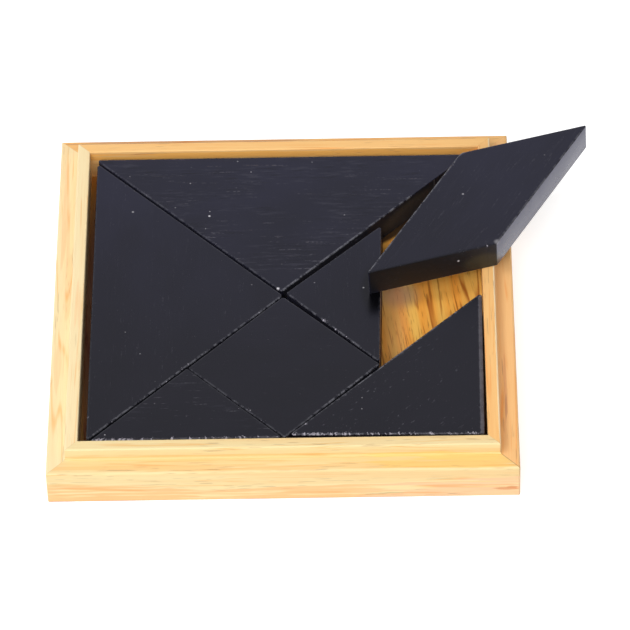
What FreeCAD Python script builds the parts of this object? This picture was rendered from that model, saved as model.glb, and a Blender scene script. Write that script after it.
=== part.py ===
import FreeCAD, Part
import math
import os

# Driving dimensions, in millimetres

# The square that the seven pieces are sawn from, and what sawing and sanding take off each edge
tangram_side = 117.8
saw_trim = 0.3
small_front_trim = 0.4
square_trim = 0.45
piece_thickness = 9.5

# Sanded edges of the pieces: the long arrises, the upright corners, keen to worn, and the
# shallow bevel along the medium triangle's right side
piece_arris = 0.3
keen_corner = 0.35
sharp_corner = 0.6
soft_corner = 1.2
worn_corner = 3.2
bevel_width = 1.15
bevel_drop = 0.55

# The tray: how much wider its opening is than the square, and how far the tops lie below its lip
tray_play = 3.4
top_below_lip = 1.2
panel_thickness = 6.0
panel_fit = 0.2

# The section of the rails: a lip, a step down through a cove, and a ledge out to the side face
rail_width = 9.4
lip_width = 3.75
step_height = 4.2
lip_inner_round = 0.4
lip_outer_round = 0.5
cove_radius = 0.8
ledge_fall = 0.2
ledge_round = 0.8
foot_round = 0.3
rebate_depth = 4.5
tray_corner_round = 0.6

# Where the set lies in the opening: it has slid towards the front rail and the right rail
right_gap = 0.45
front_gap = 0.7

# The loose parallelogram: how far its middle lies inside the right rail and from the back rail
loose_inset = 0.3
loose_from_back = 32.2
loose_turn = -30.5

# Sizes that follow from them
quarter = tangram_side / 4
half_side = tangram_side / 2
opening = tangram_side + tray_play
inner_wall = opening / 2
outer_wall = inner_wall + rail_width
panel_side = opening + 2 * (rebate_depth - panel_fit)
top_height = panel_thickness + piece_thickness
rail_height = top_height + top_below_lip
ledge_height = rail_height - step_height
set_centre = FreeCAD.Vector(
    inner_wall - right_gap - half_side,
    -inner_wall + front_gap + half_side,
    panel_thickness,
)

# Corners of the pieces in quarters of the square's side, counted from its front left corner,
# each with the rounding of its upright edge; then how far the piece has slid and turned from home
flat_pieces = {
    "large_triangle_left": {
        "corners": [(0, 0, sharp_corner), (2, 2, soft_corner), (0, 4, sharp_corner)],
        "trim": saw_trim,
        "slid_right": -0.83,
        "slid_back": -0.45,
        "turned": 0.0,
    },
    "large_triangle_back": {
        "corners": [(2, 2, soft_corner), (4, 4, sharp_corner), (0, 4, sharp_corner)],
        "trim": saw_trim,
        "slid_right": -1.78,
        "slid_back": 0.76,
        "turned": 0.0,
    },
    "small_triangle_right": {
        "corners": [(2, 2, sharp_corner), (3, 1, sharp_corner), (3, 3, sharp_corner)],
        "trim": saw_trim,
        "slid_right": -0.84,
        "slid_back": 0.22,
        "turned": -1.1,
    },
    "square_piece": {
        "corners": [(2, 2, soft_corner), (1, 1, sharp_corner), (2, 0, sharp_corner), (3, 1, sharp_corner)],
        "trim": square_trim,
        "slid_right": -0.97,
        "slid_back": -0.24,
        "turned": 0.6,
    },
    "small_triangle_front": {
        "corners": [(0, 0, keen_corner), (2, 0, keen_corner), (1, 1, sharp_corner)],
        "trim": small_front_trim,
        "slid_right": -0.48,
        "slid_back": 0.04,
        "turned": 0.3,
    },
    "medium_triangle": {
        "corners": [(2, 0, sharp_corner), (4, 0, sharp_corner), (4, 2, sharp_corner)],
        "trim": saw_trim,
        "slid_right": 0.1,
        "slid_back": 0.75,
        "turned": -0.65,
    },
}
parallelogram_corners = [(3, 1, keen_corner), (4, 2, sharp_corner), (4, 4, keen_corner), (3, 3, worn_corner)]


def middle(corners):
    """The mean of one or more corners, in millimetres from the middle of the whole square."""
    x = sum(c[0] for c in corners) / len(corners)
    y = sum(c[1] for c in corners) / len(corners)
    return FreeCAD.Vector(x * quarter - half_side, y * quarter - half_side, 0)


def trimmed_outline(corners, trim):
    """Corner points about the piece's own middle, with each edge moved in by the trim."""
    home = middle(corners)
    points = [middle([corner]) - home for corner in corners]
    count = len(points)
    edges = []
    for k in range(count):
        along = (points[(k + 1) % count] - points[k]).normalize()
        inward = FreeCAD.Vector(-along.y, along.x, 0)
        edges.append((points[k] + inward * trim, along))
    outline = []
    for k in range(count):
        start, along = edges[k - 1]
        other_start, other_along = edges[k]
        across = FreeCAD.Vector(-other_along.y, other_along.x, 0)
        reach = (other_start - start).dot(across) / along.dot(across)
        outline.append(start + along * reach)
    return outline


def rounded_face(points, radii):
    """A flat face inside the points, with an arc of its own radius at each of them."""
    count = len(points)
    arcs = []
    for k in range(count):
        before = (points[k - 1] - points[k]).normalize()
        after = (points[(k + 1) % count] - points[k]).normalize()
        half_angle = before.getAngle(after) / 2
        setback = radii[k] / math.tan(half_angle)
        centre = points[k] + (before + after).normalize() * (radii[k] / math.sin(half_angle))
        crown = centre + (points[k] - centre).normalize() * radii[k]
        arcs.append((points[k] + before * setback, crown, points[k] + after * setback))
    edges = []
    for k in range(count):
        start, crown, end = arcs[k]
        edges.append(Part.Arc(start, crown, end).toShape())
        edges.append(Part.LineSegment(end, arcs[(k + 1) % count][0]).toShape())
    return Part.Face(Part.Wire(edges))


def level_edges(solid, height):
    """The edges of the solid that lie wholly at one height."""
    slack = 1e-4
    found = []
    for edge in solid.Edges:
        box = edge.BoundBox
        if abs(box.ZMin - height) < slack and abs(box.ZMax - height) < slack:
            found.append(edge)
    return found


def sawn_piece(corners, trim):
    """One loose piece about its own middle, lying on the plane z = 0, with sanded arrises."""
    outline = trimmed_outline(corners, trim)
    face = rounded_face(outline, [c[2] for c in corners])
    solid = face.extrude(FreeCAD.Vector(0, 0, piece_thickness))
    arrises = level_edges(solid, 0) + level_edges(solid, piece_thickness)
    return solid.makeFillet(piece_arris, arrises)


def bevelled(solid):
    """The piece with a shallow bevel planed along the top of its right side."""
    box = solid.BoundBox
    past = bevel_width
    section = [
        (box.XMax - bevel_width, box.ZMax),
        (box.XMax, box.ZMax - bevel_drop),
        (box.XMax + past, box.ZMax - bevel_drop),
        (box.XMax + past, box.ZMax + past),
        (box.XMax - bevel_width, box.ZMax + past),
    ]
    corners = [FreeCAD.Vector(x, box.YMin - past, z) for x, z in section]
    planed_off = Part.Face(Part.makePolygon(corners + corners[:1]))
    return solid.cut(planed_off.extrude(FreeCAD.Vector(0, box.YLength + 2 * past, 0)))


def placed_flat(name):
    """A piece where it lies in the tray."""
    data = flat_pieces[name]
    solid = sawn_piece(data["corners"], data["trim"])
    if name == "medium_triangle":
        solid = bevelled(solid)
    solid.rotate(FreeCAD.Vector(0, 0, 0), FreeCAD.Vector(0, 0, 1), data["turned"])
    slid = FreeCAD.Vector(data["slid_right"], data["slid_back"], 0)
    solid.translate(set_centre + middle(data["corners"]) + slid)
    return solid


def loose_parallelogram():
    """The lifted piece, leaning from the tops of the flat pieces onto the lip of the right rail."""
    solid = sawn_piece(parallelogram_corners, saw_trim)
    turn = FreeCAD.Rotation(FreeCAD.Vector(0, 0, 1), loose_turn)
    solid.rotate(FreeCAD.Vector(0, 0, 0), FreeCAD.Vector(0, 0, 1), loose_turn)
    place = FreeCAD.Vector(inner_wall - loose_inset, inner_wall - loose_from_back, rail_height)
    solid.translate(place)
    outline = trimmed_outline(parallelogram_corners, saw_trim)
    tip = place + turn.multVec(outline[0])
    lean = math.degrees(math.atan2(top_below_lip, inner_wall - tip.x))
    arris = FreeCAD.Vector(inner_wall, 0, rail_height)
    solid.rotate(arris, FreeCAD.Vector(0, 1, 0), -lean)
    return solid


def rail_section():
    """The front rail's section in the YZ plane, its inner wall on the left at y = -inner_wall."""
    def at(outward, height):
        return FreeCAD.Vector(0, -inner_wall - outward, height)

    def arc(centre, radius, start_degrees):
        """A quarter turn about a centre, from a direction measured from outward towards up."""
        angles = [math.radians(start_degrees + step) for step in (0, 45, 90)]
        points = [at(centre[0] + radius * math.cos(a), centre[1] + radius * math.sin(a)) for a in angles]
        return Part.Arc(*points).toShape(), points[0], points[2]

    foot, foot_start, foot_end = arc((rail_width - foot_round, foot_round), foot_round, -90)
    edge_height = ledge_height - ledge_fall
    ledge, ledge_start, ledge_end = arc((rail_width - ledge_round, edge_height - ledge_round), ledge_round, 0)
    cove_centre = at(lip_width + cove_radius, ledge_height + cove_radius)
    cove_low = cove_centre + FreeCAD.Vector(0, 0, -cove_radius)
    cove_high = cove_centre + FreeCAD.Vector(0, cove_radius, 0)
    cove_middle = cove_centre + FreeCAD.Vector(0, 1, -1).normalize() * cove_radius
    cove = Part.Arc(cove_low, cove_middle, cove_high).toShape()
    lip, lip_start, lip_end = arc((lip_width - lip_outer_round, rail_height - lip_outer_round), lip_outer_round, 0)
    inner, inner_start, inner_end = arc((lip_inner_round, rail_height - lip_inner_round), lip_inner_round, 90)
    rebate_low = at(rebate_depth, 0)
    rebate_high = at(rebate_depth, panel_thickness)
    wall_foot = at(0, panel_thickness)

    def line(start, end):
        return Part.LineSegment(start, end).toShape()

    return Part.Face(Part.Wire([
        line(rebate_low, foot_start), foot,
        line(foot_end, ledge_start), ledge,
        line(ledge_end, cove_low), cove,
        line(cove_high, lip_start), lip,
        line(lip_end, inner_start), inner,
        line(inner_end, wall_foot),
        line(wall_foot, rebate_high),
        line(rebate_high, rebate_low),
    ]))


def front_rail():
    """The front rail: its section run along X, mitred at both ends, with the tray's rounded corners."""
    section = rail_section()
    section.translate(FreeCAD.Vector(-outer_wall, 0, 0))
    bar = section.extrude(FreeCAD.Vector(2 * outer_wall, 0, 0))
    corners = [(-outer_wall, -outer_wall), (outer_wall, -outer_wall), (0, 0)]
    points = [FreeCAD.Vector(x, y, 0) for x, y in corners]
    wedge = Part.Face(Part.makePolygon(points + points[:1])).extrude(FreeCAD.Vector(0, 0, rail_height))
    square = [(-1, -1), (1, -1), (1, 1), (-1, 1)]
    plan = rounded_face([FreeCAD.Vector(x * outer_wall, y * outer_wall, 0) for x, y in square],
                        [tray_corner_round] * len(square))
    return bar.common(wedge).common(plan.extrude(FreeCAD.Vector(0, 0, rail_height)))


def turned_rail(quarter_turns):
    """A copy of the front rail, turned about the tray's middle to another side."""
    rail = front_rail()
    rail.rotate(FreeCAD.Vector(0, 0, 0), FreeCAD.Vector(0, 0, 1), 90 * quarter_turns)
    return rail


def base_panel():
    """The board let into the rails' rebates, flush with their underside."""
    corner = FreeCAD.Vector(-panel_side / 2, -panel_side / 2, 0)
    return Part.makeBox(panel_side, panel_side, panel_thickness, corner)


def single_solid(shape):
    """The one solid of a result that may be wrapped in a compound."""
    solids = shape.Solids
    if len(solids) != 1:
        raise ValueError("expected one solid, found %d" % len(solids))
    return solids[0]


def build():
    """Every node's name and its solid."""
    nodes = {"base_panel": base_panel()}
    for name, turns in (("rail_front", 0), ("rail_right", 1), ("rail_back", 2), ("rail_left", 3)):
        nodes[name] = turned_rail(turns)
    for name in flat_pieces:
        nodes[name] = placed_flat(name)
    nodes["parallelogram"] = loose_parallelogram()
    return nodes


os.makedirs("parts", exist_ok=True)
for node, shape in build().items():
    single_solid(shape).exportStep("parts/" + node + ".step")
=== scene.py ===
import math
from collections import namedtuple
import bmesh
import bpy
from mathutils import Matrix, Vector, noise


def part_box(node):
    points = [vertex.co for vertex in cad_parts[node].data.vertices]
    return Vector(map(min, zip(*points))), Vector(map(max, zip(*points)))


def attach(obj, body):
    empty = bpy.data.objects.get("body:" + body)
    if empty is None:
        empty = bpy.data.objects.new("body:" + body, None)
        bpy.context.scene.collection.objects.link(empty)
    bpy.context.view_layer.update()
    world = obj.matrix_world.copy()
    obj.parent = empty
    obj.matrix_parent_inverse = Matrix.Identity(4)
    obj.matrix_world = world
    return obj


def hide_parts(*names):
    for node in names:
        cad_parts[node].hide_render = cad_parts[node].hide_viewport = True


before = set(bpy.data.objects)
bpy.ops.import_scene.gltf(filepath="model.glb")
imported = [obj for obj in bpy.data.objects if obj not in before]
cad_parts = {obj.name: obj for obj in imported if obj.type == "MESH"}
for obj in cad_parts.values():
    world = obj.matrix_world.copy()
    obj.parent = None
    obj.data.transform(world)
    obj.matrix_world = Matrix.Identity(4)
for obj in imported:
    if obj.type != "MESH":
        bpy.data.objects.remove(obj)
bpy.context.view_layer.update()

MM = 0.001

# Camera, at the photograph's viewing angle: angles in degrees, lengths in metres, focal length in pixels
CAMERA_YAW = -1.1651
CAMERA_ELEVATION = 46.5388
CAMERA_ROLL = -1.7265
CAMERA_DISTANCE = 1.46975
CAMERA_TARGET = Vector((0.009353, 0.004816, 0.0))
CAMERA_FOCAL_PIXELS = 4786.54
CAMERA_CLIP = (0.05, 20.0)
IMAGE_PIXELS = 630
SENSOR_MM = 36.0

# Studio: the heights on a unit sphere between which the world dims and its brightness below and above
# them, and the floor's half size, gap under the tray and glow
SKY_LOW_EDGE = 0.45
SKY_HIGH_EDGE = 0.75
SKY_LOW_STRENGTH = 0.6
SKY_HIGH_STRENGTH = 0.32
FLOOR_HALF = 3.0
FLOOR_GAP = 0.05 * MM
FLOOR_GLOW = 0.6

# Sizes that follow from the solids
PANEL_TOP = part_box("base_panel")[1][2]
BACK_LOW, BACK_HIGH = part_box("rail_back")
RIM_TOP = BACK_HIGH[2]
OUTER_WALL = BACK_HIGH[1]
INNER_WALL = BACK_LOW[1]
LIP_WIDTH = 3.75 * MM
STEP_HEIGHT = 4.2 * MM
STEP = INNER_WALL + LIP_WIDTH
LEDGE_TOP = RIM_TOP - STEP_HEIGHT
LEDGE_FOOT = LEDGE_TOP + 0.4 * MM
PIECE_THICKNESS = 9.5 * MM
PIECE_TOP = PANEL_TOP + PIECE_THICKNESS

# Mitres: half the width of the line, sharp and faded, its strength, and the corner that has opened
MITRE_SHARP = 0.05 * MM
MITRE_FADED = 0.2 * MM
MITRE_STRENGTH = 0.12
OPEN_STRENGTH = 0.7
OPEN_INSET = 3 * MM
OPEN_REACH = 9 * MM
OPEN_MITRE = (OUTER_WALL - OPEN_INSET, OPEN_INSET - OUTER_WALL, LEDGE_TOP)

# Depth of the pores and fibres in the surface of the rails and the panel, and of the black pieces
PALE_RELIEF = 0.08 * MM
BLACK_RELIEF = 0.05 * MM

# Frayed borders of the streaks: how far the noise moves a border, where it is cut, and how it fades out
FRAY_REACH = 3.2
FRAY_CUT = (0.18, 0.45)
FRAY_FADE = 0.2

# The painted shadow on the panel at the foot of the small right triangle: the direction across it, how far
# along that direction it ends, and how softly
FOOT_SHADOW_ACROSS = (1.0, -0.0193, 0.0)
FOOT_SHADOW_EDGE = 0.0298
FOOT_SHADOW_SOFTNESS = 0.3 * MM

# Black pieces: the sanded arrises, the planed bevel, how finely the edges are divided, the least length of
# a straight side, how closely two heights have to agree, and the loose piece's turn
ARRIS = 0.3 * MM
BEVEL_WIDTH = 1.15 * MM
BEVEL_DROP = 0.55 * MM
EDGE_STEP = 0.35 * MM
CORNER_STEPS = 6
FOOT_STEPS = 2
ARRIS_STEPS = 5
SIDE_MARGIN = 0.3 * MM
LONG_EDGE = 3 * MM
TINY = 0.01 * MM
LOOSE_TURN = math.radians(-30.5)

# Wear of the black edges: chips and nicks along a side, the wear of a side that isn't listed, how near
# an angle a side has to face, and how much wear shows at distances in from an arris
CHIP_DEPTH = 0.22 * MM
CHIP_LENGTH = 2.6 * MM
NICK_LENGTH = 0.7 * MM
# A side's rubbing is rubbing wear together with a painted highlight on its arris.
LIGHT_WEAR = (0.12, 0.12)
FACING_TOLERANCE = 15
TOP_FADE = ((0.35 * MM, 0.7), (0.7 * MM, 0.35), (1.05 * MM, 0.0))

# Grain directions, turned from the X axis
LEVEL = 0.0
DIAGONAL = math.pi / 4
UPRIGHT = math.pi / 2
PANEL_GRAIN = math.radians(97.0)

# Placed details. A centre and its radii are in metres. A face is all of a piece's surface that turns
# towards a direction, within a spread of the cosine, and rougher is added to its roughness. An edge's
# facing is in degrees from the X axis, and its start and end are shares of the side's length
Streak = namedtuple("Streak", "centre radii strength tint")
# The panel's patches are painted shade and painted shadow.
Patch = namedtuple("Patch", "centre radii strength tint soft")
# The tinted patches on the black pieces are painted shadow and painted reflection.
PaintedLight = namedtuple("PaintedLight", "centre radii tint")
Spot = namedtuple("Spot", "centre radius strength")
Face = namedtuple("Face", "direction tint rougher spread")
# An edge's rubbing share stands for rubbing wear and a painted highlight.
Edge = namedtuple("Edge", "facing chipped rubbed start end", defaults=(0.0, 1.0))


def rgb(red, green, blue):
    """An opaque colour."""
    return red, green, blue, 1.0


# Colours that run over the rails
ORANGE = rgb(0.93, 0.58, 0.24)
RED = rgb(0.93, 0.545, 0.25)
PINK = rgb(0.93, 0.585, 0.33)
YELLOW = rgb(0.93, 0.61, 0.21)
TAN = rgb(0.95, 0.66, 0.36)
RUST = rgb(0.74, 0.34, 0.15)
BROWN = rgb(0.60, 0.31, 0.15)
RAIL_LINE = rgb(0.95, 0.68, 0.44)
RAIL_FIBRE = rgb(0.85, 0.66, 0.45)
RAIL_PORE = rgb(0.45, 0.26, 0.12)
MITRE_DARK = rgb(0.30, 0.13, 0.05)

# Colours of the panel
PANEL_PALE = rgb(1.0, 0.575, 0.125)
PANEL_AMBER = rgb(1.0, 0.41, 0.060)
PANEL_STREAK = rgb(0.44, 0.125, 0.018)
PANEL_FIBRE = rgb(0.8, 0.52, 0.3)
PANEL_PORE = rgb(0.25, 0.08, 0.015)
# Painted shadow in the wedge between the large back triangle and the parallelogram.
WEDGE_SHADOW_BROWN = rgb(0.050, 0.027, 0.014)

# Colours of the black pieces: where on the Y axis the colour changes, the colour at the front and at the
# back of the tray (black staining painted lighter and bluer towards the back as painted light), and what
# lies over it
BLACK = rgb(0.0, 0.0, 0.0)
STAIN_AND_LIGHT_CHANGE = (-0.045, 0.07)
STAIN_AND_LIGHT_FRONT = rgb(0.0040, 0.0036, 0.0062)
STAIN_AND_LIGHT_BACK = rgb(0.0115, 0.0115, 0.0255)
VEIN = rgb(0.045, 0.044, 0.060)
PORE = rgb(0.12, 0.115, 0.14)
DUST = rgb(0.62, 0.60, 0.64)
RUBBED_AND_HIGHLIGHT = rgb(0.32, 0.32, 0.36)
BARE = rgb(0.46, 0.43, 0.49)


class Shader:
    """A node material that is built up one node at a time."""

    def __init__(self, name):
        self.material = bpy.data.materials.new(name)
        self.material.use_nodes = True
        self.tree = self.material.node_tree
        self.tree.nodes.clear()

    def add(self, kind, settings=None, **inputs):
        """Adds one node. Each input is a plain value, or an output socket to link from."""
        node = self.tree.nodes.new("ShaderNode" + kind)
        for key, value in (settings or {}).items():
            setattr(node, key, value)
        for key, value in inputs.items():
            self.feed(node.inputs[key.replace("_", " ")], value)
        return node

    def feed(self, socket, value):
        """Links an output socket to an input, or writes a plain value into it."""
        if isinstance(value, bpy.types.NodeSocket):
            self.tree.links.new(value, socket)
        else:
            socket.default_value = value

    def math(self, operation, first, second=0.0):
        """One step of arithmetic."""
        node = self.add("Math", {"operation": operation})
        self.feed(node.inputs[0], first)
        self.feed(node.inputs[1], second)
        return node.outputs[0]

    def times(self, first, second):
        """Two values multiplied."""
        return self.math("MULTIPLY", first, second)

    def vector_math(self, operation, first, second):
        """One step of arithmetic with two vectors, as its node."""
        node = self.add("VectorMath", {"operation": operation})
        self.feed(node.inputs[0], first)
        self.feed(node.inputs[1], second)
        return node

    def blend(self, factor, first, second, mode="MIX"):
        """Mixes two colours."""
        node = self.add("Mix", {"data_type": "RGBA", "blend_type": mode}, Factor=factor)
        self.feed(node.inputs[6], first)
        self.feed(node.inputs[7], second)
        return node.outputs[2]

    def remap(self, value, low, high, to_low=0.0, to_high=1.0):
        """Carries a range of values smoothly to another range."""
        node = self.add("MapRange", {"interpolation_type": "SMOOTHSTEP"}, Value=value,
                        From_Min=low, From_Max=high, To_Min=to_low, To_Max=to_high)
        return node.outputs["Result"]

    def place(self):
        """The place of a point on the object."""
        return self.add("TexCoord").outputs["Object"]

    def noise(self, vector, scale=1.0, detail=2.0, roughness=0.5):
        """Noise with so many cells to one unit of the vector."""
        node = self.add("TexNoise", Vector=vector, Scale=scale, Detail=detail, Roughness=roughness)
        return node.outputs["Fac"]

    def stretched(self, vector, scales, offset=(0.0, 0.0, 0.0)):
        """The vector scaled by its own factor on each axis, then shifted."""
        return self.add("Mapping", Vector=vector, Scale=scales, Location=offset).outputs["Vector"]

    def grained(self, grain, along, across, detail=2.0, roughness=0.5):
        """Noise drawn out along the grain, with so many cells a metre along it and across it."""
        cells = self.stretched(grain, (along, across, across))
        return self.noise(cells, detail=detail, roughness=roughness)

    def grain_space(self, along, seed, wander=0.0012):
        """Object coordinates turned so that the grain runs along their first axis, a little wavy."""
        turned = self.add("VectorRotate", {"rotation_type": "Z_AXIS"}, Vector=self.place(), Angle=-along)
        moved = self.stretched(turned.outputs["Vector"], (1.0, 1.0, 1.0), (seed * 0.37, seed * 0.11, 0.0))
        cells = self.stretched(moved, (14.0, 50.0, 50.0))
        slow = self.add("TexNoise", Vector=cells, Scale=1.0, Detail=1.0)
        centred = self.vector_math("SUBTRACT", slow.outputs["Color"], (0.5, 0.5, 0.5))
        sized = self.add("VectorMath", {"operation": "SCALE"}, Vector=centred.outputs[0], Scale=wander)
        return self.vector_math("ADD", moved, sized.outputs[0]).outputs[0]

    def ball(self, centre, radii):
        """1 at the centre, falling evenly to 0 at the given radii."""
        shifted = self.vector_math("SUBTRACT", self.place(), centre)
        scaled = self.vector_math("DIVIDE", shifted.outputs[0], radii)
        node = self.add("TexGradient", {"gradient_type": "SPHERICAL"}, Vector=scaled.outputs[0])
        return node.outputs["Fac"]

    def patch(self, centre, radii, soft=0.8):
        """1 around a point of the object, falling softly to 0 at the given radii."""
        return self.remap(self.ball(centre, radii), 0.0, soft)

    def frayed_patch(self, centre, radii, ragged):
        """A patch whose border a noise frays."""
        ball = self.ball(centre, radii)
        offset = self.times(self.math("SUBTRACT", ragged, 0.5), FRAY_REACH)
        frayed = self.math("ADD", ball, offset)
        return self.times(self.remap(frayed, *FRAY_CUT), self.remap(ball, 0.0, FRAY_FADE))

    def short_of(self, direction, edge, softness):
        """1 where the place of a point along a direction lies short of an edge, and 0 beyond it."""
        along = self.vector_math("DOT_PRODUCT", self.place(), direction)
        return self.remap(along.outputs["Value"], edge, edge + softness, 1.0, 0.0)

    def facing(self, direction, low, high):
        """1 where the surface faces the given direction of the object."""
        toward = self.vector_math("DOT_PRODUCT", self.add("TexCoord").outputs["Normal"], direction)
        return self.remap(toward.outputs["Value"], low, high)

    def finish(self, base, roughness, bump_height, bump_distance, **constants):
        """Closes the material with one Principled BSDF."""
        shader = self.add("BsdfPrincipled", Base_Color=base, Roughness=roughness, **constants)
        bump = self.add("Bump", Height=bump_height, Distance=bump_distance, Strength=1.0)
        self.tree.links.new(bump.outputs["Normal"], shader.inputs["Normal"])
        self.add("OutputMaterial", Surface=shader.outputs[0])
        return self.material


def rail_wood(name, along, seed, pale, amber, bands, streaks):
    """Lacquered pale hardwood: soft bands, thin lines along the grain, short pores and placed streaks."""
    s = Shader(name)
    grain = s.grain_space(along, seed)
    band = s.remap(s.grained(grain, 6.0, 210.0), *bands)
    rings = s.grained(grain, 4.0, 120.0, detail=1.0)
    wave = s.math("PINGPONG", s.times(rings, 11.0), 0.5)
    breaks = s.grained(grain, 45.0, 420.0)
    line = s.times(s.remap(wave, 0.0, 0.16, 1.0, 0.0), s.remap(breaks, 0.44, 0.62))
    ragged = s.grained(grain, 28.0, 800.0, detail=3.0, roughness=0.6)
    fibre = s.grained(grain, 90.0, 3400.0)
    where_pores = s.remap(s.grained(grain, 25.0, 160.0, detail=1.0), 0.44, 0.60)
    pore = s.times(s.remap(s.grained(grain, 130.0, 2500.0, detail=1.0), 0.63, 0.71), where_pores)
    colour = s.blend(band, pale, amber)
    for streak in streaks:
        reach = s.times(s.frayed_patch(streak.centre, streak.radii, ragged), streak.strength)
        colour = s.blend(reach, colour, streak.tint)
    colour = s.blend(s.times(line, 0.7), colour, RAIL_LINE, "MULTIPLY")
    colour = s.blend(s.remap(fibre, 0.3, 0.7, 0.0, 0.16), colour, RAIL_FIBRE, "MULTIPLY")
    colour = s.blend(s.times(pore, 0.4), colour, RAIL_PORE)
    mitre = mitre_lines(s)
    colour = s.blend(mitre, colour, MITRE_DARK)
    height = s.math("SUBTRACT", s.times(fibre, 0.18), s.math("MAXIMUM", pore, mitre))
    roughness = s.remap(line, 0.0, 1.0, 0.36, 0.46)
    return s.finish(colour, roughness, height, PALE_RELIEF, Specular_IOR_Level=0.25)


def mitre_lines(s):
    """1 on the thin lines of the four mitres, strongest at the corner that has opened."""
    place = s.add("SeparateXYZ", Vector=s.place())
    x_size, y_size = (s.math("ABSOLUTE", place.outputs[axis]) for axis in "XY")
    across = s.math("ABSOLUTE", s.math("SUBTRACT", x_size, y_size))
    line = s.remap(across, MITRE_SHARP, MITRE_FADED, 1.0, 0.0)
    opened = s.patch(OPEN_MITRE, (OPEN_REACH, OPEN_REACH, OPEN_REACH))
    return s.times(line, s.remap(opened, 0.0, 1.0, MITRE_STRENGTH, OPEN_STRENGTH))


def panel_wood(name, seed, patches, foot_shadow):
    """The orange board: slanting streaks along its grain, patches of painted shade and a painted shadow
    along the small right triangle's foot.
    """
    s = Shader(name)
    grain = s.grain_space(PANEL_GRAIN, seed, wander=0.004)
    band = s.remap(s.grained(grain, 9.0, 190.0, detail=3.0), 0.38, 0.66)
    rings = s.grained(grain, 7.0, 150.0, detail=1.0)
    wave = s.math("PINGPONG", s.times(rings, 9.0), 0.5)
    breaks = s.grained(grain, 50.0, 420.0)
    streak = s.times(s.remap(wave, 0.0, 0.2, 1.0, 0.0), s.remap(breaks, 0.46, 0.58))
    fibre = s.grained(grain, 110.0, 3200.0)
    pore = s.remap(s.grained(grain, 150.0, 2100.0, detail=1.0), 0.64, 0.71)
    colour = s.blend(band, PANEL_PALE, PANEL_AMBER)
    colour = s.blend(s.times(streak, 0.9), colour, PANEL_STREAK)
    colour = s.blend(s.remap(fibre, 0.3, 0.7, 0.0, 0.2), colour, PANEL_FIBRE, "MULTIPLY")
    colour = s.blend(s.times(pore, 0.4), colour, PANEL_PORE)
    for patch in patches:
        reach = s.patch(patch.centre, patch.radii, patch.soft)
        colour = s.blend(s.times(reach, patch.strength), colour, patch.tint)
    # Painted shadow along the foot of the small right triangle's wall.
    at_foot = s.short_of(FOOT_SHADOW_ACROSS, FOOT_SHADOW_EDGE, FOOT_SHADOW_SOFTNESS)
    in_bay = s.patch(foot_shadow.centre, foot_shadow.radii, foot_shadow.soft)
    colour = s.blend(s.times(s.times(at_foot, in_bay), foot_shadow.strength), colour, foot_shadow.tint)
    height = s.math("SUBTRACT", s.times(fibre, 0.15), pore)
    roughness = s.remap(band, 0.0, 1.0, 0.36, 0.48)
    return s.finish(colour, roughness, height, PALE_RELIEF, Specular_IOR_Level=0.2)


def black_wood(name, along, seed, pores, pore_cells, veins, specks, spots=(), faces=(), painted_lights=()):
    """Black staining on open-pored wood with a satin coat: streaks of pores, dust specks, worn edges, and
    painted light.
    """
    s = Shader(name)
    grain = s.grain_space(along, seed, wander=0.0015)
    cloud = s.grained(grain, 35.0, 60.0)
    fibre = s.grained(grain, 60.0, 1500.0, detail=3.0, roughness=0.6)
    pore = open_pores(s, grain, pores, pore_cells)
    vein, furrow = veins_and_furrows(s, grain, veins)
    worn, rub = edge_wear(s)
    depth = s.add("SeparateXYZ", Vector=s.place()).outputs["Y"]
    # Painted light: the black colour is painted lighter and bluer from the front of the tray to the back.
    stain_and_light = s.blend(s.remap(depth, *STAIN_AND_LIGHT_CHANGE), STAIN_AND_LIGHT_FRONT, STAIN_AND_LIGHT_BACK)
    colour = s.blend(s.remap(cloud, 0.3, 0.7, 0.0, 0.35), stain_and_light, BLACK)
    roughness = s.remap(cloud, 0.3, 0.7, 0.20, 0.27)
    # Some face tints are painted highlights and painted reflections.
    for face in faces:
        turned = s.facing(face.direction, 1.0 - face.spread, 1.0 - face.spread / 4)
        colour = s.blend(turned, colour, face.tint)
        roughness = s.math("ADD", roughness, s.times(turned, face.rougher))
    # Tinted patches of painted shadow and painted reflection.
    for painted_patch in painted_lights:
        colour = s.blend(s.patch(painted_patch.centre, painted_patch.radii, soft=0.5), colour, painted_patch.tint)
    colour = s.blend(s.times(furrow, 1.1), colour, BLACK)
    colour = s.blend(vein, colour, VEIN)
    colour = s.blend(s.times(pore, 0.55), colour, PORE)
    colour = s.blend(dust(s, specks, spots), colour, DUST)
    # Rubbing wear and painted highlights on the arrises.
    colour = s.blend(s.times(rub, 0.36), colour, RUBBED_AND_HIGHLIGHT)
    colour = s.blend(s.times(worn, 0.8), colour, BARE)
    height = s.math("SUBTRACT", s.times(fibre, 0.25), pore)
    height = s.math("SUBTRACT", height, s.times(worn, 0.5))
    roughness = s.math("ADD", roughness, s.times(worn, 0.35))
    return s.finish(colour, roughness, height, BLACK_RELIEF, IOR=1.354, Specular_Tint=rgb(0.8, 0.8, 1.0),
                    Sheen_Weight=0.08, Sheen_Roughness=0.4, Sheen_Tint=rgb(0.72, 0.72, 1.0))


def open_pores(s, grain, pores, cells):
    """Short pores in strips along the grain, broken up by a finer noise."""
    where_pores = s.remap(s.grained(grain, 25.0, 110.0, detail=1.0), 0.36, 0.58)
    broken = s.remap(s.noise(s.place(), scale=900.0, detail=1.0), 0.40, 0.62)
    pore = s.remap(s.grained(grain, *cells, detail=3.0, roughness=0.6), 0.60, 0.72)
    return s.times(s.times(pore, broken), s.times(where_pores, pores))


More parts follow.
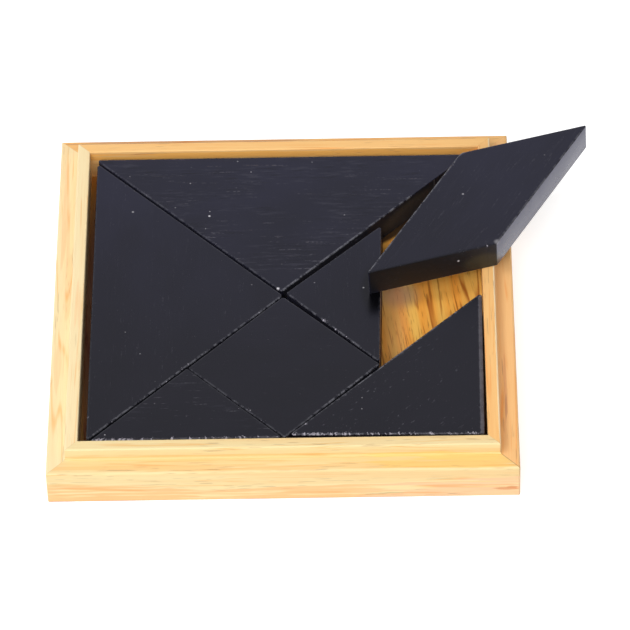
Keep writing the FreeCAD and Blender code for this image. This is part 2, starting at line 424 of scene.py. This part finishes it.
def veins_and_furrows(s, grain, veins):
    """Grey dashes along the grain, and the black furrows between them."""
    dashes = s.grained(grain, 150.0, 1150.0, detail=3.0, roughness=0.65)
    where_veins = s.remap(s.grained(grain, 60.0, 150.0, detail=1.0), 0.43, 0.58)
    veined = s.times(where_veins, veins)
    vein = s.times(s.remap(dashes, 0.52, 0.68), veined)
    return vein, s.times(s.remap(dashes, 0.34, 0.46, 1.0, 0.0), veined)


def dust(s, specks, spots):
    """Small specks scattered over a share of the cells, and the larger placed ones."""
    cells = s.add("TexVoronoi", {"voronoi_dimensions": "2D"}, Vector=s.place(), Scale=210.0)
    chosen = s.add("SeparateColor", Color=cells.outputs["Color"])
    dot = s.remap(cells.outputs["Distance"], 0.03, 0.06, 1.0, 0.0)
    kept = s.math("GREATER_THAN", chosen.outputs["Red"], 1.0 - specks)
    strength = s.math("POWER", chosen.outputs["Green"], 2.5)
    speck = s.times(s.times(dot, kept), s.times(strength, 0.5))
    for spot in spots:
        reach = s.patch(spot.centre, (spot.radius, spot.radius, spot.radius))
        speck = s.math("MAXIMUM", speck, s.times(reach, spot.strength))
    return speck


def edge_wear(s):
    """Where the arrises are chipped to the bare wood, and where they show only rubbing wear with a painted
    highlight.
    """
    wear = s.add("Attribute", {"attribute_name": "wear"}).outputs["Fac"]
    rub = s.add("Attribute", {"attribute_name": "rub"}).outputs["Fac"]
    fine = s.noise(s.place(), scale=3200.0)
    worn = s.remap(s.math("ADD", wear, s.times(fine, 1.9)), 1.42, 1.72)
    uneven = s.remap(s.noise(s.place(), scale=620.0, detail=3.0, roughness=0.7), 0.38, 0.6)
    return worn, s.times(rub, uneven)


def corner_outline(node):
    """A flat piece's own axes, its thickness, and its plan as sharp corners with their rounding."""
    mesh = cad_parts[node].data
    top = max((p for p in mesh.polygons if p.normal.z > 0.9), key=lambda p: p.area)
    up = top.normal.normalized()
    right = (Vector((1, 0, 0)) - up * up.x).normalized()
    axes = Matrix((right, up.cross(right), up)).transposed()
    points = [axes.transposed() @ v.co for v in mesh.vertices]
    floor = min(p.z for p in points)
    thickness = max(p.z for p in points) - floor
    ring = {(round(p.x, 6), round(p.y, 6)) for p in points if abs(p.z - floor - ARRIS) < TINY}
    ring = [Vector(p) for p in ring]
    middle = sum(ring, Vector((0, 0))) / len(ring)
    ring.sort(key=lambda p: math.atan2(p.y - middle.y, p.x - middle.x))
    sides = [(a, b) for a, b in zip(ring, ring[1:] + ring[:1]) if (b - a).length > LONG_EDGE]
    corners = []
    for k, (start, end) in enumerate(sides):
        before = sides[k - 1]
        point = crossing(before[0], before[1], start, end)
        opening = (before[0] - point).angle(end - point)
        corners.append((point, (start - point).length * math.tan(opening / 2)))
    return axes, floor, thickness, corners


def crossing(a, b, c, d):
    """Where the line through a and b meets the line through c and d."""
    along, other = b - a, d - c
    share = (c - a).cross(other) / along.cross(other)
    return a + along * share


def side_vectors(corners):
    """The vector along each side of a plan, from its corner to the next."""
    return [end[0] - start[0] for start, end in zip(corners, corners[1:] + corners[:1])]


def same_way(facing, angle):
    """True where two directions in degrees are nearly the same."""
    return abs((facing - angle + 180) % 360 - 180) < FACING_TOLERANCE


def ring_at(corners, insets, heights, counts):
    """One ring of a piece: its plan moved in by each side's inset, at each side's height."""
    total = len(corners)
    lines = []
    for k in range(total):
        start, end = corners[k][0], corners[(k + 1) % total][0]
        along = (end - start).normalized()
        inward = Vector((-along.y, along.x)) * insets[k]
        lines.append((start + inward, end + inward))
    arcs = []
    for k in range(total):
        point = crossing(*lines[k - 1], *lines[k])
        before = (lines[k - 1][0] - point).normalized()
        after = (lines[k][1] - point).normalized()
        radius = max(corners[k][1] - min(insets[k - 1], insets[k]), 0.0)
        half = before.angle(after) / 2
        centre = point + (before + after).normalized() * radius / math.sin(half)
        first = point + before * radius / math.tan(half) - centre
        sweep = math.pi - 2 * half
        arc = []
        for i in range(CORNER_STEPS + 1):
            share = i / CORNER_STEPS
            turn = Matrix.Rotation(sweep * share, 2)
            height = heights[k - 1] * (1 - share) + heights[k] * share
            arc.append((centre + turn @ first, height))
        arcs.append(arc)
    ring = []
    for k in range(total):
        start, end = arcs[k][-1][0], arcs[(k + 1) % total][0][0]
        for point, height in arcs[k]:
            ring.append(Vector((point.x, point.y, height)))
        for i in range(1, counts[k]):
            point = start.lerp(end, i / counts[k])
            ring.append(Vector((point.x, point.y, heights[k])))
    return ring


def piece_rings(corners, thickness, cuts, counts):
    """The rings of a piece from its foot to its top, each with how far chips move it and show on it."""
    total = len(corners)
    rings = []
    for i in range(FOOT_STEPS + 1):
        angle = math.pi / 2 * i / FOOT_STEPS
        inset, height = ARRIS * (1 - math.sin(angle)), ARRIS * (1 - math.cos(angle))
        rings.append((ring_at(corners, [inset] * total, [height] * total, counts), 0.0, 0.0))
    below = [thickness - drop - SIDE_MARGIN for width, drop in cuts]
    rings.append((ring_at(corners, [0.0] * total, below, counts), 0.0, 0.0))
    for i in range(ARRIS_STEPS + 1):
        share = i / ARRIS_STEPS
        angle = math.pi / 2 * share
        insets, heights = [], []
        for width, drop in cuts:
            across, up = (share, share) if width > drop else (1 - math.cos(angle), math.sin(angle))
            insets.append(width * across)
            heights.append(thickness - drop * (1 - up))
        chipping = math.sin(math.pi * share) * 0.5 + 0.5
        rings.append((ring_at(corners, insets, heights, counts), chipping, 1.0))
    for margin, shown in TOP_FADE:
        inner = [width + margin for width, drop in cuts]
        rings.append((ring_at(corners, inner, [thickness] * total, counts), 0.0, shown))
    return rings


def chip(side, distance, amount, seed):
    """How deep the arris is chipped at a distance along a side, from 0 to 1."""
    coarse = noise.noise(Vector((distance / CHIP_LENGTH, side * 7.3, seed)))
    fine = noise.noise(Vector((distance / NICK_LENGTH, side * 3.1, seed + 5)))
    return max(0.0, min(1.0, (0.55 * coarse + 0.75 * fine) * 1.6 + amount - 0.75))


def side_wear(facing, share, wear):
    """The chipping, and the rubbing wear with its painted highlight, of a side that faces an angle, at a
    share of its length.
    """
    for edge in wear:
        if same_way(facing, edge.facing) and edge.start <= share <= edge.end:
            return edge.chipped, edge.rubbed
    return LIGHT_WEAR


def side_of_each_point(counts, lengths):
    """For each point of a ring, the side that it belongs to and its distance along that side."""
    sides = []
    for k, count in enumerate(counts):
        sides += [(k, 0.0)] * (CORNER_STEPS + 1)
        sides += [(k, lengths[k] * i / count) for i in range(1, count)]
    return sides


def worn_piece(node, material, wear, seed, bevelled=()):
    """A black piece as a fine mesh: rounded arrises with chips, and a planed bevel if it has one."""
    axes, floor, thickness, corners = corner_outline(node)
    vectors = side_vectors(corners)
    lengths = [along.length for along in vectors]
    facings = [math.degrees(math.atan2(-along.x, along.y)) % 360 for along in vectors]
    counts = [max(2, round(length / EDGE_STEP)) for length in lengths]
    planed = [any(same_way(facing, angle) for angle in bevelled) for facing in facings]
    cuts = [(BEVEL_WIDTH, BEVEL_DROP) if is_planed else (ARRIS, ARRIS) for is_planed in planed]
    sides = side_of_each_point(counts, lengths)
    middle = sum((corner[0] for corner in corners), Vector((0, 0))) / len(corners)
    mesh = bmesh.new()
    wear_layer = mesh.verts.layers.float.new("wear")
    rub_and_highlight_layer = mesh.verts.layers.float.new("rub")
    rows = []
    for ring, chipping, shown in piece_rings(corners, thickness, cuts, counts):
        row = []
        for point, (side, distance) in zip(ring, sides):
            chipped, rubbed = side_wear(facings[side], distance / lengths[side], wear)
            depth = chip(side, distance, chipped, seed)
            outward = (point.xy - middle).normalized()
            moved = Vector((point.x, point.y, point.z + floor))
            moved -= Vector((outward.x, outward.y, 0.9)) * depth * chipping * CHIP_DEPTH
            vertex = mesh.verts.new(axes @ moved)
            vertex[wear_layer] = depth * shown
            vertex[rub_and_highlight_layer] = rubbed if shown == 1.0 else 0.0
            row.append(vertex)
        rows.append(row)
    close_rings(mesh, rows)
    stand_for(node, mesh, material)


def close_rings(mesh, rows):
    """Faces between the rings, and the two flat faces that close the first and the last."""
    count = len(rows[0])
    mesh.faces.new(list(reversed(rows[0])))
    mesh.faces.new(rows[-1])
    for low, high in zip(rows, rows[1:]):
        for i in range(count):
            j = (i + 1) % count
            face = mesh.faces.new((low[i], low[j], high[j], high[i]))
            face.smooth = True
    bmesh.ops.remove_doubles(mesh, verts=mesh.verts, dist=1e-7)


def stand_for(node, mesh, material):
    """Turns the mesh into an object that stands for the node."""
    data = bpy.data.meshes.new(node + "_worn")
    mesh.to_mesh(data)
    mesh.free()
    piece = bpy.data.objects.new(node + "_worn", data)
    bpy.context.scene.collection.objects.link(piece)
    data.materials.append(material)
    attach(piece, "root")
    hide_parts(node)


def dress(node, material):
    """Gives a CAD node its material."""
    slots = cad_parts[node].data.materials
    slots.clear()
    slots.append(material)


def make_front_rail():
    """A pale board: orange and yellow along its step and ledge, red and pink figure at its foot, and a
    painted shadow along the foot.
    """
    face = -OUTER_WALL
    streaks = [
        Streak((-0.010, -STEP - 0.0003, LEDGE_FOOT), (0.110, 0.0012, 0.0012), 0.75, ORANGE),
        Streak((0.000, face + 0.0018, LEDGE_TOP), (0.120, 0.0016, 0.0014), 0.6, ORANGE),
        Streak((0.050, -STEP - 0.002, LEDGE_TOP), (0.034, 0.0042, 0.0024), 0.95, YELLOW),
        Streak((-0.052, face, 0.0004), (0.036, 0.004, 0.0078), 0.95, RED),
        Streak((0.010, face, 0.0002), (0.044, 0.004, 0.0078), 0.9, RED),
        Streak((0.062, face, 0.001), (0.046, 0.005, 0.0090), 0.9, PINK),
        Streak((0.066, face, 0.0030), (0.005, 0.004, 0.0010), 0.9, RUST),
        Streak((0.0675, face, 0.0040), (0.003, 0.004, 0.0009), 0.8, RUST),
        # The two brown lines along the foot are painted shadow where the rail stands on the floor.
        Streak((-0.055, face, -0.0002), (0.030, 0.004, 0.0007), 0.8, BROWN),
        Streak((0.0, face + 0.0002, 0.0), (0.140, 0.0012, 0.0005), 0.7, BROWN),
    ]
    wood = rail_wood("rail_front_wood", LEVEL, seed=1, pale=rgb(0.885, 0.715, 0.385),
                     amber=rgb(0.88, 0.635, 0.31), bands=(0.42, 0.66), streaks=streaks)
    dress("rail_front", wood)


def make_left_rail():
    """A pale board with tan figure along its lip and ledge."""
    streaks = [
        Streak((-0.0675, 0.034, LEDGE_TOP), (0.0022, 0.030, 0.003), 0.9, TAN),
        Streak((-0.0660, 0.006, LEDGE_TOP), (0.0020, 0.016, 0.004), 0.8, TAN),
        Streak((-0.0620, -0.006, RIM_TOP), (0.0014, 0.016, 0.003), 0.7, TAN),
        Streak((-0.0675, -0.026, LEDGE_TOP), (0.0018, 0.014, 0.003), 0.7, TAN),
    ]
    wood = rail_wood("rail_left_wood", UPRIGHT, seed=9, pale=rgb(0.945, 0.775, 0.46),
                     amber=rgb(0.94, 0.70, 0.38), bands=(0.42, 0.68), streaks=streaks)
    dress("rail_left", wood)


def make_right_rail():
    """An orange board: a ledge lightened with painted light, dark pores, a painted highlight line on the
    lip and painted shade on the inner wall.
    """
    ledge_painted_light = rgb(0.95, 0.555, 0.235)
    lip_painted_highlight = rgb(1.0, 0.80, 0.50)
    wall_painted_shade = rgb(0.32, 0.10, 0.03)
    streaks = [
        # Painted light over the ledge, and a painted highlight along the lip's outer arris.
        Streak((0.0675, 0.0, LEDGE_TOP), (0.0050, 0.300, 0.004), 0.9, ledge_painted_light),
        Streak((STEP - 0.0001, 0.0, RIM_TOP - 0.0002), (0.0005, 0.140, 0.0008), 0.9, lip_painted_highlight),
        Streak((0.0662, -0.040, LEDGE_TOP), (0.0008, 0.022, 0.003), 0.55, RUST),
        Streak((0.0664, -0.046, LEDGE_TOP), (0.0005, 0.007, 0.003), 0.8, BROWN),
        Streak((0.0658, -0.030, LEDGE_TOP), (0.0004, 0.008, 0.003), 0.6, BROWN),
        # Painted shade on the inner wall in the gap beside the medium triangle.
        Streak((INNER_WALL, -0.030, PANEL_TOP + 0.004), (0.0008, 0.060, 0.0065), 0.9, wall_painted_shade),
        Streak((0.0656, -0.052, LEDGE_TOP), (0.0005, 0.008, 0.003), 0.8, BROWN),
    ]
    wood = rail_wood("rail_right_wood", UPRIGHT, seed=14, pale=rgb(0.955, 0.56, 0.215),
                     amber=rgb(0.93, 0.50, 0.18), bands=(0.44, 0.70), streaks=streaks)
    dress("rail_right", wood)


def make_back_rail():
    """An orange board: brown dashes, an orange band on its inner wall, and shade behind the wedge."""
    wall_orange = rgb(0.99, 0.50, 0.12)
    wedge_shade = rgb(0.06, 0.028, 0.012)
    streaks = [
        Streak((-0.042, INNER_WALL, RIM_TOP - 0.0012), (0.012, 0.002, 0.0006), 0.8, BROWN),
        Streak((-0.004, INNER_WALL, RIM_TOP - 0.0016), (0.016, 0.002, 0.0005), 0.8, BROWN),
        Streak((0.028, INNER_WALL, RIM_TOP - 0.0014), (0.014, 0.002, 0.0005), 0.8, BROWN),
        Streak((-0.030, OUTER_WALL - 0.001, LEDGE_TOP), (0.050, 0.0016, 0.003), 0.7, BROWN),
        Streak((0.0, INNER_WALL, RIM_TOP - 0.0022), (0.110, 0.003, 0.0020), 0.9, wall_orange),
        Streak((0.0475, INNER_WALL, PANEL_TOP + 0.002), (0.0110, 0.0010, 0.0050), 0.95, wedge_shade),
    ]
    wood = rail_wood("rail_back_wood", LEVEL, seed=5, pale=rgb(0.955, 0.575, 0.225),
                     amber=rgb(0.92, 0.50, 0.17), bands=(0.44, 0.68), streaks=streaks)
    dress("rail_back", wood)


def make_panel():
    """The panel, with painted shade in the wedge, in the bay, and beside the left and right rails."""
    patches = [
        # Painted shade: the wedge, under the parallelogram's front edge, beside the small right triangle,
        # and in the gaps by the left and right rails.
        Patch((0.0184, 0.0512, PANEL_TOP), (0.0258, 0.0258, 0.003), 0.97, WEDGE_SHADOW_BROWN, 0.06),
        Patch((0.0425, 0.0455, PANEL_TOP), (0.0150, 0.0150, 0.003), 0.97, WEDGE_SHADOW_BROWN, 0.35),
        Patch((0.0480, 0.0530, PANEL_TOP), (0.0140, 0.0160, 0.003), 0.97, rgb(0.035, 0.022, 0.016), 0.45),
        Patch((0.035, 0.007, PANEL_TOP), (0.009, 0.008, 0.003), 0.7, rgb(0.42, 0.24, 0.17), 0.8),
        Patch((0.034, -0.006, PANEL_TOP), (0.006, 0.030, 0.003), 0.5, rgb(0.80, 0.36, 0.13), 0.8),
        Patch((-0.0592, 0.0, PANEL_TOP), (0.0055, 0.110, 0.003), 0.92, rgb(0.10, 0.022, 0.012), 0.8),
        Patch((0.0605, -0.034, PANEL_TOP), (0.0030, 0.034, 0.003), 0.92, rgb(0.09, 0.026, 0.010), 0.3),
    ]
    foot_shadow = Patch((0.031, -0.001, PANEL_TOP), (0.006, 0.050, 0.003), 0.92, rgb(0.05, 0.018, 0.012), 0.2)
    dress("base_panel", panel_wood("panel_wood", seed=3, patches=patches, foot_shadow=foot_shadow))


def make_large_triangle_left():
    """A quiet top with one placed speck."""
    seed = 2
    wood = black_wood("black_wood_left", UPRIGHT, seed, pores=0.3, pore_cells=(150.0, 1900.0), veins=0.04,
                      specks=0.05, spots=[Spot((-0.0466, 0.0352, PIECE_TOP), 0.0005, 0.5)])
    worn_piece("large_triangle_left", wood, [Edge(315, 0.45, 0.7)], seed)


def make_large_triangle_back():
    """The most open-pored top, with dust specks, and a dull side with a painted brown reflection in the
    wedge.
    """
    seed = 4
    spots = [
        Spot((-0.0229, 0.0329, PIECE_TOP), 0.0005, 1.0),
        Spot((-0.0228, 0.0349, PIECE_TOP), 0.0003, 0.5),
        Spot((-0.0016, 0.0015, PIECE_TOP - 0.0001), 0.0007, 1.0),
    ]
    dull_side = Face((0.71, -0.71, 0.0), BLACK, 0.45, 0.04)
    # Painted reflection: the side wall in the wedge is tinted brown like the shaded panel it faces.
    wedge_wall_reflection = PaintedLight((0.040, 0.040, 0.0095), (0.017, 0.017, 0.006), rgb(0.040, 0.031, 0.014))
    wood = black_wood("black_wood_back", LEVEL, seed, pores=1.0, pore_cells=(95.0, 1700.0), veins=0.36,
                      specks=0.15, spots=spots, faces=[dull_side], painted_lights=[wedge_wall_reflection])
    wear = [Edge(315, 0.3, 1.0, 0.0, 0.70), Edge(315, 0.1, 0.1, 0.70, 1.0), Edge(225, 0.3, 0.3)]
    worn_piece("large_triangle_back", wood, wear, seed)


def make_small_triangle_right():
    """A quiet top with a painted shadow where the parallelogram's tip lies over it, and a chipped front
    left side.
    """
    seed = 6
    # Painted shadow of the parallelogram's tip on this top.
    shadow_under_tip = PaintedLight((0.0275, 0.0, PIECE_TOP), (0.0050, 0.0120, 0.004), BLACK)
    spots = [Spot((0.0244, 0.0013, PIECE_TOP), 0.0004, 0.5)]
    wood = black_wood("black_wood_right", UPRIGHT, seed, pores=0.2, pore_cells=(150.0, 1700.0), veins=0.03,
                      specks=0.03, spots=spots, painted_lights=[shadow_under_tip])
    worn_piece("small_triangle_right", wood, [Edge(225, 0.7, 0.6, 0.3, 0.85), Edge(225, 0.4, 0.4)], seed)


def make_square():
    """The smoothest top, with rubbing wear and a painted highlight along the side towards the medium
    triangle.
    """
    seed = 8
    wood = black_wood("black_wood_square", LEVEL, seed, pores=0.15, pore_cells=(150.0, 1700.0), veins=0.02,
                      specks=0.04)
    wear = [Edge(315, 0.3, 0.5, 0.0, 0.35), Edge(315, 0.6, 0.9, 0.35, 1.0), Edge(225, 0.5, 0.3)]
    worn_piece("square_piece", wood, wear, seed)


def make_small_triangle_front():
    """An open-pored top, chipped to bare wood along the front, most at its left end."""
    seed = 10
    wood = black_wood("black_wood_front", LEVEL, seed, pores=0.9, pore_cells=(90.0, 1500.0), veins=0.16,
                      specks=0.06)
    wear = [Edge(270, 1.3, 0.5, 0.0, 0.22), Edge(270, 0.95, 0.5, 0.22, 1.0)]
    worn_piece("small_triangle_front", wood, wear, seed)


def make_medium_triangle():
    """A top of short diagonal pores, a planed bevel tinted grey as a painted highlight, and a chipped front
    edge.
    """
    seed = 12
    bevel_facing = 0
    # Painted highlight: the bevel is tinted grey.
    bevel = Face((0.43, 0.0, 0.90), rgb(0.075, 0.074, 0.090), 0.2, 0.04)
    wood = black_wood("black_wood_medium", DIAGONAL, seed, pores=0.8, pore_cells=(420.0, 900.0), veins=0.0,
                      specks=0.08, faces=[bevel])
    wear = [
        Edge(270, 1.3, 0.6, 0.0, 0.28),
        Edge(270, 1.0, 0.6, 0.28, 1.0),
        Edge(135, 0.2, 1.1, 0.0, 0.65),
        Edge(135, 0.1, 0.5, 0.65, 1.0),
        Edge(bevel_facing, 0.3, 0.4),
    ]
    worn_piece("medium_triangle", wood, wear, seed, bevelled=(bevel_facing,))


def make_parallelogram():
    """The loose piece: a right side tinted pale as a painted reflection, a dull black front with a painted
    reflection at its right end, and long edges with rubbing wear and painted highlights.
    """
    seed = 14
    spots = [
        Spot((0.0553, 0.0303, 0.0260), 0.0005, 0.5),
        Spot((0.0534, 0.0054, 0.0222), 0.0005, 0.9),
        Spot((0.0652, 0.0094, 0.0263), 0.0013, 0.3),
    ]
    faces = [
        # Painted reflection: the right side face is tinted pale lavender.
        Face((0.90, -0.43, 0.0), rgb(0.056, 0.056, 0.102), 0.0, 0.04),
        Face((0.30, -0.95, 0.0), rgb(0.003, 0.003, 0.0028), 0.3, 0.04),
        Face((0.19, -0.62, 0.76), BLACK, 0.4, 0.25),
    ]
    # Painted reflection: a warm olive-brown patch on the right end of the front face.
    front_end_reflection = PaintedLight((0.0605, 0.0080, 0.0195), (0.0085, 0.005, 0.0045), rgb(0.026, 0.022, 0.011))
    wood = black_wood("black_wood_loose", UPRIGHT + LOOSE_TURN, seed, pores=0.4, pore_cells=(110.0, 1500.0),
                      veins=0.10, specks=0.05, spots=spots, faces=faces, painted_lights=[front_end_reflection])
    wear = [
        Edge(285, 0.85, 0.0, 0.93, 1.0),
        Edge(285, 0.55, 0.0),
        Edge(330, 0.5, 0.5),
        Edge(150, 0.3, 1.0),
    ]
    worn_piece("parallelogram", wood, wear, seed)


def seen_rays(tree):
    """1 for rays from the camera, from gloss and through glass, which see the white background."""
    path = tree.nodes.new("ShaderNodeLightPath")
    seen = path.outputs["Is Camera Ray"]
    for name in ("Is Glossy Ray", "Is Transmission Ray"):
        either = tree.nodes.new("ShaderNodeMath")
        either.operation = "MAXIMUM"
        tree.links.new(seen, either.inputs[0])
        tree.links.new(path.outputs[name], either.inputs[1])
        seen = either.outputs[0]
    return seen


def make_floor():
    """A pale floor that the camera and glossy surfaces see as white, with the object's soft shadow."""
    signs = ((-1, -1), (1, -1), (1, 1), (-1, 1))
    data = bpy.data.meshes.new("floor")
    data.from_pydata([(x * FLOOR_HALF, y * FLOOR_HALF, 0) for x, y in signs], [], [(0, 1, 2, 3)])
    floor = bpy.data.objects.new("floor", data)
    floor.location.z = -FLOOR_GAP
    bpy.context.scene.collection.objects.link(floor)
    s = Shader("floor_white")
    paper = s.add("BsdfDiffuse", Color=rgb(0.8, 0.8, 0.8))
    strength = s.times(seen_rays(s.tree), FLOOR_GLOW)
    glow = s.add("Emission", Color=rgb(1.0, 1.0, 1.0), Strength=strength)
    both = s.add("AddShader")
    s.tree.links.new(paper.outputs[0], both.inputs[0])
    s.tree.links.new(glow.outputs[0], both.inputs[1])
    s.add("OutputMaterial", Surface=both.outputs[0])
    data.materials.append(s.material)


def make_world():
    """A white studio, bright near the horizon and dimmer overhead."""
    world = bpy.data.worlds.new("studio")
    bpy.context.scene.world = world
    world.use_nodes = True
    tree = world.node_tree
    tree.nodes.clear()
    place = tree.nodes.new("ShaderNodeTexCoord")
    split = tree.nodes.new("ShaderNodeSeparateXYZ")
    rise = tree.nodes.new("ShaderNodeMapRange")
    rise.interpolation_type = "SMOOTHSTEP"
    for name, value in (("From Min", SKY_LOW_EDGE), ("From Max", SKY_HIGH_EDGE),
                        ("To Min", SKY_LOW_STRENGTH), ("To Max", SKY_HIGH_STRENGTH)):
        rise.inputs[name].default_value = value
    level = tree.nodes.new("ShaderNodeMath")
    level.operation = "MAXIMUM"
    sky = tree.nodes.new("ShaderNodeBackground")
    out = tree.nodes.new("ShaderNodeOutputWorld")
    tree.links.new(place.outputs["Generated"], split.inputs[0])
    tree.links.new(split.outputs["Z"], rise.inputs["Value"])
    tree.links.new(rise.outputs[0], level.inputs[0])
    tree.links.new(seen_rays(tree), level.inputs[1])
    tree.links.new(level.outputs[0], sky.inputs["Strength"])
    tree.links.new(sky.outputs[0], out.inputs["Surface"])
    sky.inputs["Color"].default_value = rgb(1.0, 1.0, 1.0)


def make_lamp(name, towards, distance, width, height, energy):
    """A soft box that faces the object from the given direction."""
    lamp = bpy.data.lights.new(name, "AREA")
    lamp.shape = "RECTANGLE"
    lamp.size = width
    lamp.size_y = height
    lamp.energy = energy
    box = bpy.data.objects.new(name, lamp)
    box.location = towards.normalized() * distance
    box.rotation_euler = towards.to_track_quat("Z", "Y").to_euler()
    bpy.context.scene.collection.objects.link(box)


def make_camera():
    """The camera that was fitted to the tray's edges in the photograph."""
    yaw, elevation, roll = (math.radians(a) for a in (CAMERA_YAW, CAMERA_ELEVATION, CAMERA_ROLL))
    level_size = math.cos(elevation)
    forward = Vector((math.sin(yaw) * level_size, math.cos(yaw) * level_size, -math.sin(elevation)))
    level = Vector((math.cos(yaw), -math.sin(yaw), 0.0))
    above = level.cross(forward)
    right = level * math.cos(roll) + above * math.sin(roll)
    up = above * math.cos(roll) - level * math.sin(roll)
    data = bpy.data.cameras.new("camera")
    data.sensor_width = SENSOR_MM
    data.lens = CAMERA_FOCAL_PIXELS / IMAGE_PIXELS * SENSOR_MM
    data.clip_start, data.clip_end = CAMERA_CLIP
    camera = bpy.data.objects.new("camera", data)
    turn = Matrix((right, up, -forward)).transposed().to_4x4()
    camera.matrix_world = Matrix.Translation(CAMERA_TARGET - forward * CAMERA_DISTANCE) @ turn
    bpy.context.scene.collection.objects.link(camera)
    bpy.context.scene.camera = camera


make_camera()
make_world()
make_lamp("key", Vector((-0.25, -1.0, 1.05)), distance=2.0, width=1.6, height=0.8, energy=25.0)
make_lamp("side", Vector((-0.6, -0.25, 1.0)), distance=2.0, width=0.6, height=0.6, energy=9.8)
make_floor()
make_front_rail()
make_left_rail()
make_right_rail()
make_back_rail()
make_panel()
make_large_triangle_left()
make_large_triangle_back()
make_small_triangle_right()
make_square()
make_small_triangle_front()
make_medium_triangle()
make_parallelogram()
bpy.context.scene.view_settings.view_transform = "Standard"
